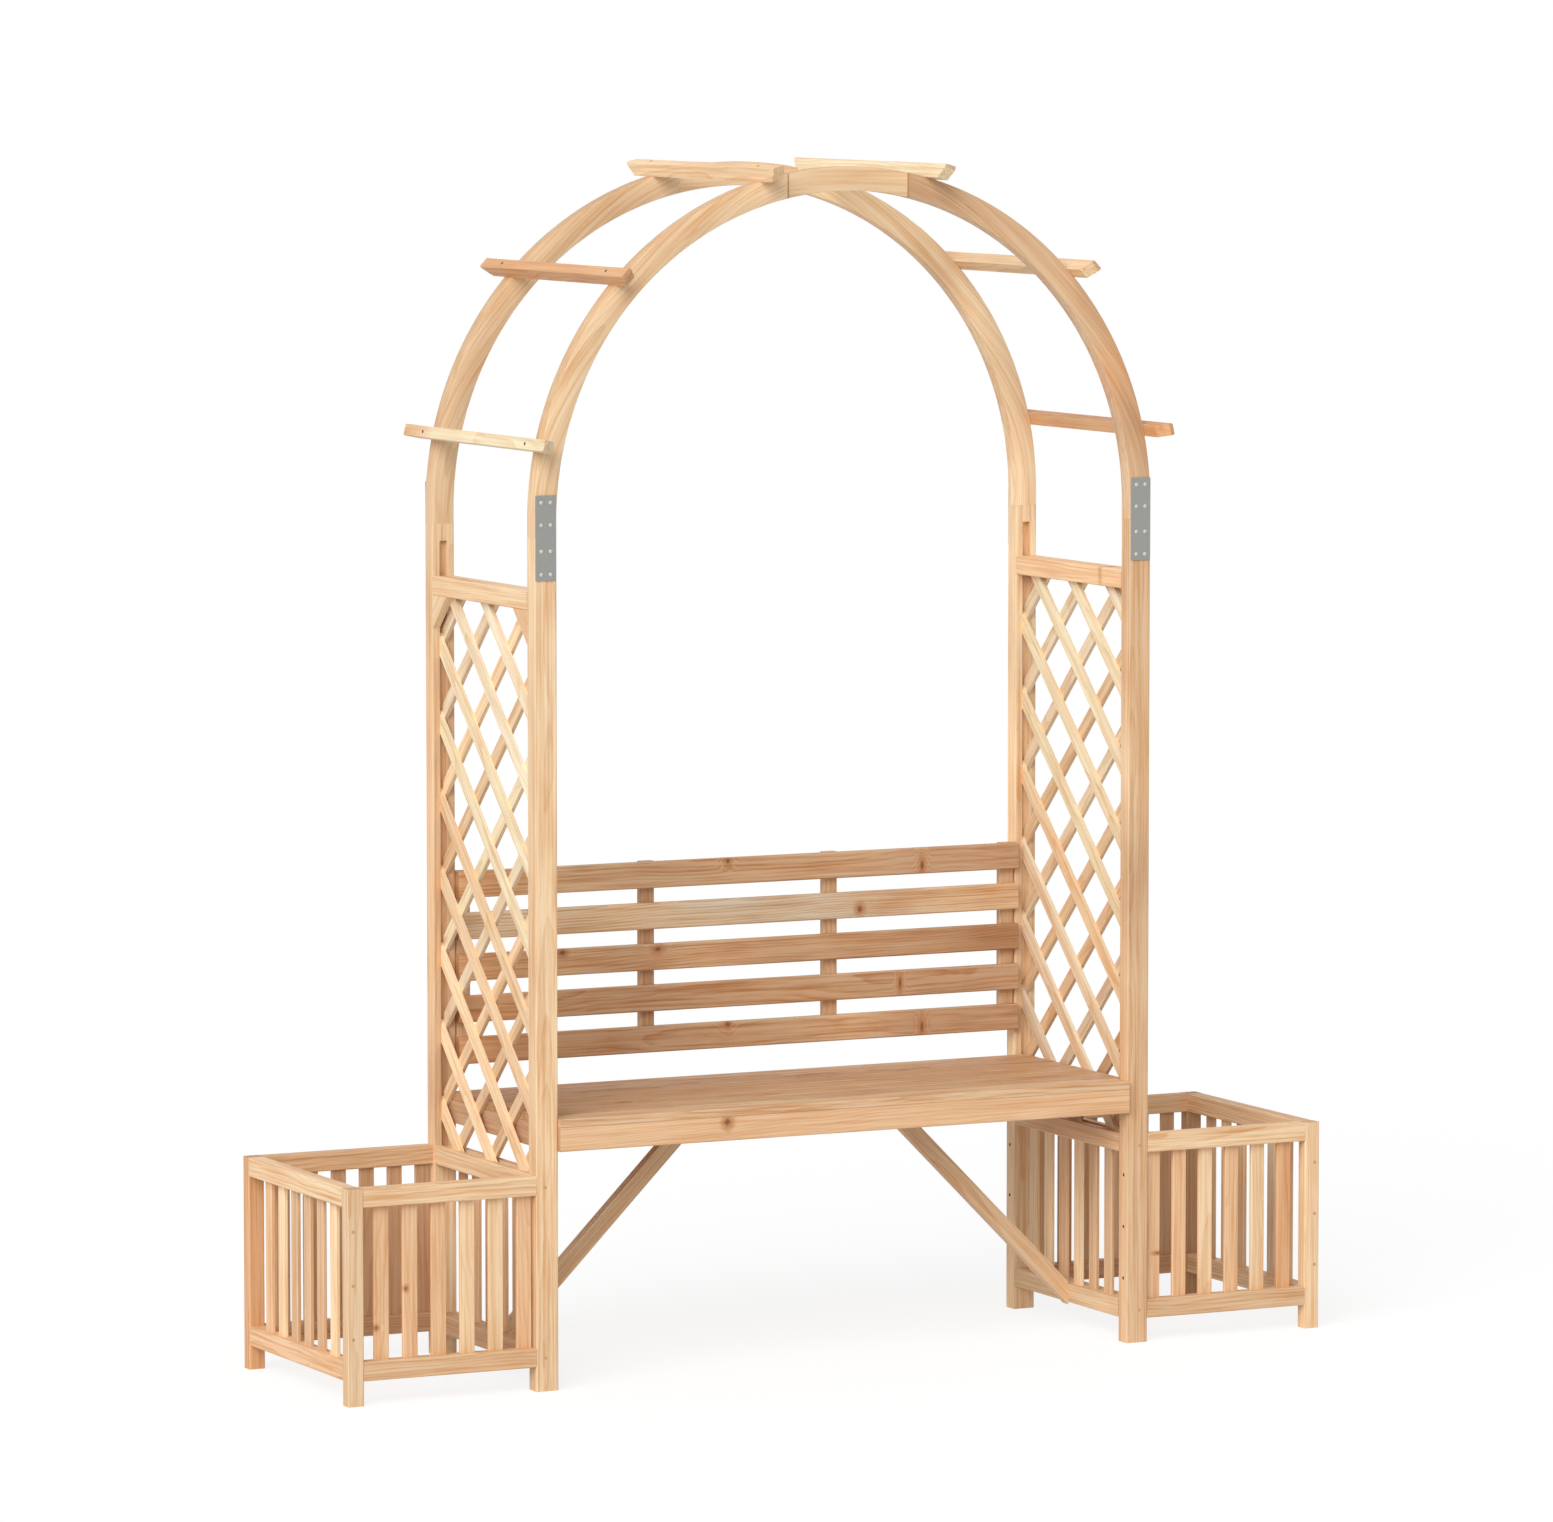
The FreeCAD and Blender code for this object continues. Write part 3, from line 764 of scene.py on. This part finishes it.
def fastener_tree():
    """Screw heads with a cross recess, one at each point, facing along the point's attribute."""
    g = Shape("screw heads", [("Radius", "Float"), ("Height", "Float"), ("Seed", "Int"),
                              ("Material", "Material")])
    radius, height = g.input["Radius"], g.input["Height"]
    head = g.node("GeometryNodeMeshUVSphere", None, {"Segments": 16, "Rings": 8, "Radius": 1.0})
    for size in ((1.3, 0.26, 0.9), (0.26, 1.3, 0.9)):
        arm = g.node("GeometryNodeMeshCube", None, {"Size": size})
        lifted = g.node("GeometryNodeTransform", None,
                        {"Geometry": arm, "Translation": (0.0, 0.0, 1.0)})
        head = g.node("GeometryNodeMeshBoolean", {"operation": "DIFFERENCE", "solver": "EXACT"},
                      {"Mesh 1": head, "Mesh 2": lifted})
    sized = g.node("GeometryNodeTransform", None,
                   {"Geometry": head, "Scale": g.vector(radius, radius, height)})
    facing = g.node("GeometryNodeInputNamedAttribute", {"data_type": "FLOAT_VECTOR"},
                    {"Name": "facing"})
    turned = g.node("FunctionNodeAlignRotationToVector", {"axis": "Z"}, {"Vector": facing})
    spin = g.node("FunctionNodeRandomValue", {"data_type": "FLOAT"},
                  {2: 0.0, 3: math.pi / 2, "Seed": g.input["Seed"]}, output=1)
    spun = g.node("FunctionNodeRotateRotation", {"rotation_space": "LOCAL"},
                  {0: turned, 1: g.node("FunctionNodeAxisAngleToRotation", None, {1: spin})})
    g.finish(g.node("GeometryNodeInstanceOnPoints", None, {
        "Points": g.input["Geometry"], "Instance": sized, "Rotation": spun}))
    return g


def points(name, places):
    """A mesh of loose points with the way that each faces; places are (point, facing) in mm."""
    mesh = bpy.data.meshes.new(name)
    mesh.from_pydata([Vector(p) * MM for p, _ in places], [], [])
    facing = mesh.attributes.new("facing", "FLOAT_VECTOR", "POINT")
    for item, (_, way) in zip(facing.data, places):
        item.vector = Vector(way).normalized()
    return mesh


def plate_screws():
    """Eight to each splice plate."""
    return [((side * (POST_X + off), end * PLATE_FACE, PLATE_BOTTOM + up), (0, end, 0))
            for side in (-1, 1) for end in (-1, 1)
            for off in (-8.3, 8.3) for up in (10.0, 48.0, 91.0, 128.0)]


def front_screws():
    """Heads in the front and back of the posts, where slats and rails are fixed."""
    outer = [(CORNER_X + 5.0, z) for z in SCREW_HEIGHTS]
    inner = [(POST_X + 4.0, z) for z in (340.0, 56.0)]
    return [((side * x, end * (POST_Y + POST_HALF_DEPTH), z), (0, end, 0))
            for side in (-1, 1) for end in (-1, 1) for x, z in outer + inner]


def inner_screws():
    """Screws sunk from the bench's side into the arbour's posts."""
    return [((side * (POST_X - POST_HALF_WIDTH), end * (POST_Y + 2.0), z), (-side, 0, 0))
            for side in (-1, 1) for end in (-1, 1) for z in SCREW_HEIGHTS]


def purlin_nails():
    """One nail over each arch in every purlin."""
    purlin_face = ARCH_RADIUS + POST_HALF_WIDTH + PURLIN_TALL
    places = []
    for side in (-1, 1):
        for angle in PURLIN_ANGLES:
            turn = math.radians(angle) * side
            way = Vector((math.sin(turn), 0, math.cos(turn)))
            for y in (-POST_Y, POST_Y):
                places.append((way * purlin_face + Vector((0, y, ARCH_CENTRE)), way))
    return places


def build_fasteners():
    """The visible heads of screws and nails."""
    shape = fastener_tree()
    zinc = metal("bright_zinc", paint(218, 218, 208), paint(186, 186, 174), 0.4, 0.2)
    dull = metal("sunk_steel", paint(206, 168, 124), paint(184, 146, 104), 0.6)
    iron = metal("dark_nail", paint(104, 66, 42), paint(76, 48, 32), 0.9)
    kinds = {"plate_screws": (plate_screws(), 3.4, 1.5, zinc),
             "front_screws": (front_screws(), 3.0, 0.5, dull),
             "inner_screws": (inner_screws(), 3.0, 0.5, iron),
             "purlin_nails": (purlin_nails(), 3.0, 0.5, iron)}
    for name, (places, radius, height, material) in kinds.items():
        piece = grow(name, shape, points(name, places), {
            "Radius": radius * MM, "Height": height * MM, "Seed": 7, "Material": material})
        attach(piece, "root")


# Floor, light and camera

def build_floor():
    """A pale floor that goes white away from the object and keeps its soft shadow."""
    half = 60.0
    mesh = bpy.data.meshes.new("floor")
    mesh.from_pydata([(-half, -half, 0), (half, -half, 0), (half, half, 0), (-half, half, 0)], [],
                     [(0, 1, 2, 3)])
    floor = add_object("floor", mesh)
    s = Shader("floor")
    seen = s.seen()
    lit = s.node("ShaderNodeBsdfDiffuse", None, {"Color": PALE_FLOOR})
    bright = s.node("ShaderNodeEmission", None, {"Color": WHITE, "Strength": 1.1})
    s.surface(s.node("ShaderNodeMixShader", None, {0: seen * 0.75, 1: lit, 2: bright}))
    mesh.materials.append(s.material)


def build_light():
    """A white world that lights the object evenly, and one broad lamp from the front left."""
    world = bpy.data.worlds.new("studio")
    bpy.context.scene.world = world
    world.use_nodes = True
    world.node_tree.nodes.clear()
    w = Tree(world.node_tree)
    ambient = w.node("ShaderNodeBackground", None, {"Color": WHITE, "Strength": 0.4})
    white = w.node("ShaderNodeBackground", None, {"Color": WHITE, "Strength": 1.0})
    w.node("ShaderNodeOutputWorld", None, {
        "Surface": w.node("ShaderNodeMixShader", None, {0: w.seen(), 1: ambient, 2: white})})

    lamp = bpy.data.lights.new("key", "SUN")
    lamp.energy = 2.53
    lamp.angle = math.radians(45.0)
    # Azimuth 0 shines from the front, negative ones from the left
    azimuth, elevation = -49.0, 33.0
    key = add_object("key", lamp)
    key.rotation_euler = Euler((math.radians(90.0 - elevation), 0.0, math.radians(azimuth)))


def build_camera():
    """The photograph's view, solved from the object's edges."""
    image_width, focal_px = 1553, 8303.4
    down, turn = 5.381, -26.376
    data = bpy.data.cameras.new("view")
    data.sensor_width = 36.0
    data.lens = focal_px / image_width * data.sensor_width
    data.clip_end = 200.0
    camera = add_object("view", data)
    camera.location = (-6.2399, -12.5348, 2.3229)
    camera.rotation_euler = Euler((math.radians(90.0 - down), 0.0, math.radians(turn)))
    bpy.context.scene.camera = camera
    bpy.context.scene.view_settings.view_transform = "Standard"


dress_frame()
build_arches()
build_fasteners()
build_floor()
build_light()
build_camera()
